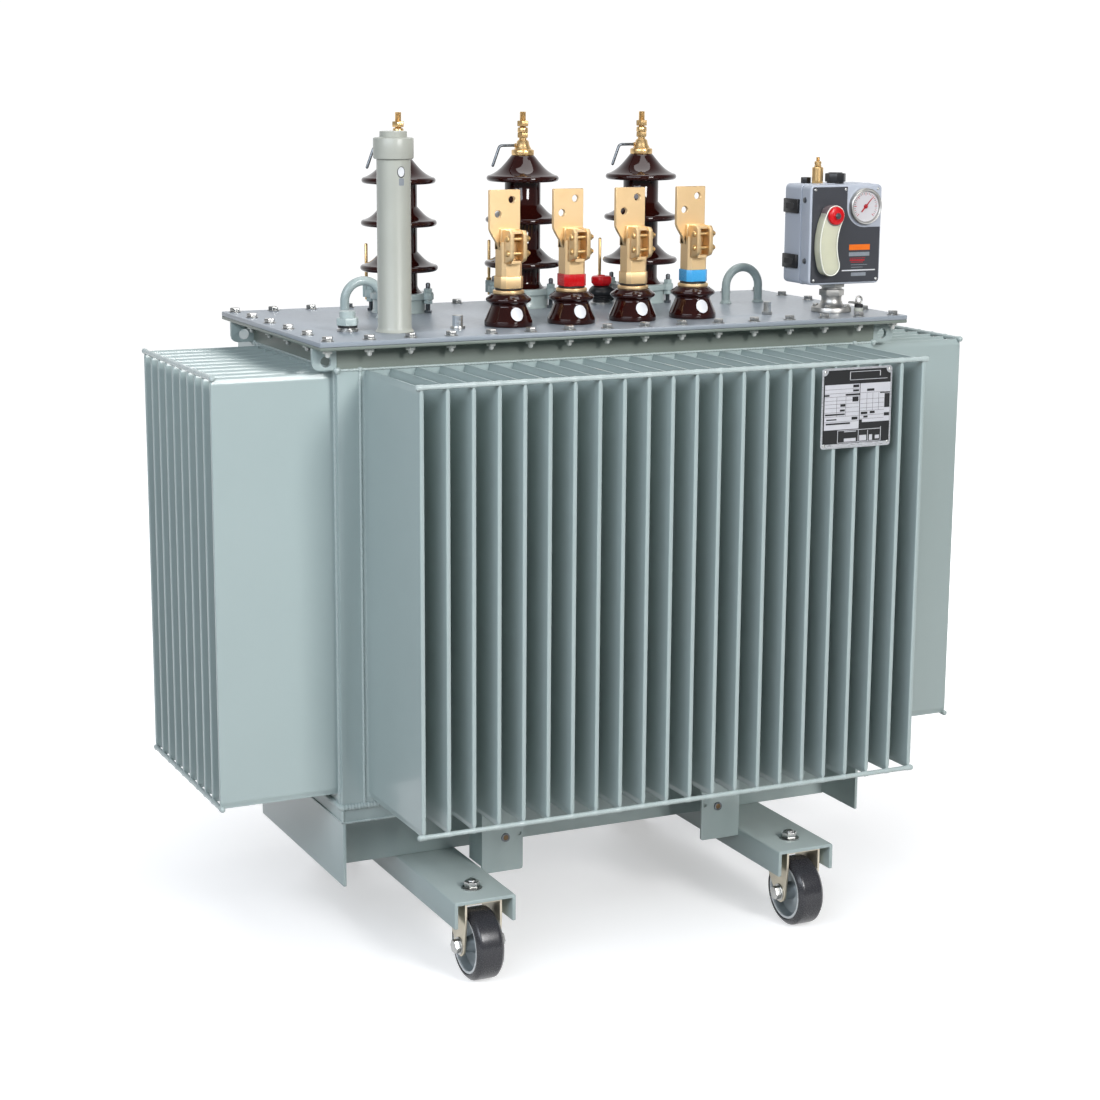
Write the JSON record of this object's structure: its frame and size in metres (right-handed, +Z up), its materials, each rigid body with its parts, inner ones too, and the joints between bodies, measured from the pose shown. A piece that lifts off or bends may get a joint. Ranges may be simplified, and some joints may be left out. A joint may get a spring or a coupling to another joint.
{
  "type": "power transformer",
  "caption": "Oil-filled power transformer with a corrugated tank, porcelain bushings, flag terminals, a relay box and castors.",
  "frame": {"origin": "on the floor under the centre of the tank", "axes": "+X along the long front to the relay end, -Y out of the low-voltage side, +Z up"},
  "size_m": [1.5398, 0.9756, 1.5363],
  "materials": {
    "tank_paint": "satin",
    "lid_paint": "satin",
    "porcelain": "gloss",
    "brass": "satin",
    "zinc_steel": "satin",
    "cast_rim": "satin",
    "tyre": "matte",
    "black_plastic": "matte",
    "red_plastic": "satin",
    "stainless": "satin",
    "relay_grey": "satin",
    "gauge_white": "satin",
    "clear_plastic": "gloss",
    "plate_metal": "satin"
  },
  "bodies": {
    "transformer": {"tank": "tank_paint", "tank_flange": "tank_paint", "support_frame": "tank_paint", "skid_channel_left": "tank_paint", "skid_channel_right": "tank_paint", "fin_wall_front": "tank_paint", "fin_wall_rear": "tank_paint", "fin_wall_left": "tank_paint", "fin_wall_right": "tank_paint", "lifting_eye_left": "tank_paint", "lifting_eye_right": "tank_paint", "filler_pipe": "tank_paint", "filler_cap": "tank_paint", "thermometer_pocket": "tank_paint", "jacking_bracket_front_left": "tank_paint", "jacking_bracket_front_right": "tank_paint", "jacking_bracket_rear_left": "tank_paint", "jacking_bracket_rear_right": "tank_paint", "hv_mount_1": "tank_paint", "hv_mount_2": "tank_paint", "hv_mount_3": "tank_paint", "lid": "lid_paint", "hv_porcelain_1": "porcelain", "hv_terminal_1": "brass", "hv_porcelain_2": "porcelain", "hv_terminal_2": "brass", "hv_porcelain_3": "porcelain", "hv_terminal_3": "brass", "lv_porcelain_1": "porcelain", "lv_terminal_1": "brass", "lv_porcelain_2": "porcelain", "lv_terminal_2": "brass", "lv_porcelain_3": "porcelain", "lv_terminal_3": "brass", "lv_porcelain_4": "porcelain", "lv_terminal_4": "brass", "castor_fork_front_left": "zinc_steel", "castor_fork_front_right": "zinc_steel", "castor_fork_rear_left": "zinc_steel", "castor_fork_rear_right": "zinc_steel", "tap_changer_base": "black_plastic", "relay_stand": "stainless", "relay_housing": "relay_grey", "relay_gauge": "gauge_white", "relay_float_window": "clear_plastic", "relay_panel": "black_plastic", "relay_test_knob": "red_plastic", "relay_bleed_valve": "brass", "relay_cable_plug": "black_plastic", "nameplate": "plate_metal"},
    "wheel_front_left": {"wheel_rim_front_left": "cast_rim", "wheel_tyre_front_left": "tyre"},
    "wheel_front_right": {"wheel_rim_front_right": "cast_rim", "wheel_tyre_front_right": "tyre"},
    "wheel_rear_left": {"wheel_rim_rear_left": "cast_rim", "wheel_tyre_rear_left": "tyre"},
    "wheel_rear_right": {"wheel_rim_rear_right": "cast_rim", "wheel_tyre_rear_right": "tyre"},
    "tap_knob": {"tap_changer_knob": "red_plastic"}
  },
  "joints": [
    {"name": "wheel_spin_front_left", "type": "hinge", "parent": "transformer", "child": "wheel_front_left", "pos_m": [-0.335, -0.352, 0.066], "axis": [1, 0, 0], "continuous": true},
    {"name": "wheel_spin_front_right", "type": "hinge", "parent": "transformer", "child": "wheel_front_right", "pos_m": [0.335, -0.352, 0.066], "axis": [1, 0, 0], "continuous": true},
    {"name": "wheel_spin_rear_left", "type": "hinge", "parent": "transformer", "child": "wheel_rear_left", "pos_m": [-0.335, 0.352, 0.066], "axis": [1, 0, 0], "continuous": true},
    {"name": "wheel_spin_rear_right", "type": "hinge", "parent": "transformer", "child": "wheel_rear_right", "pos_m": [0.335, 0.352, 0.066], "axis": [1, 0, 0], "continuous": true},
    {"name": "tap_knob_turn", "type": "hinge", "parent": "transformer", "child": "tap_knob", "pos_m": [0.1475, 0.14, 1.1963], "axis": [0, 0, 1], "range_deg": [0, 120]}
  ]
}
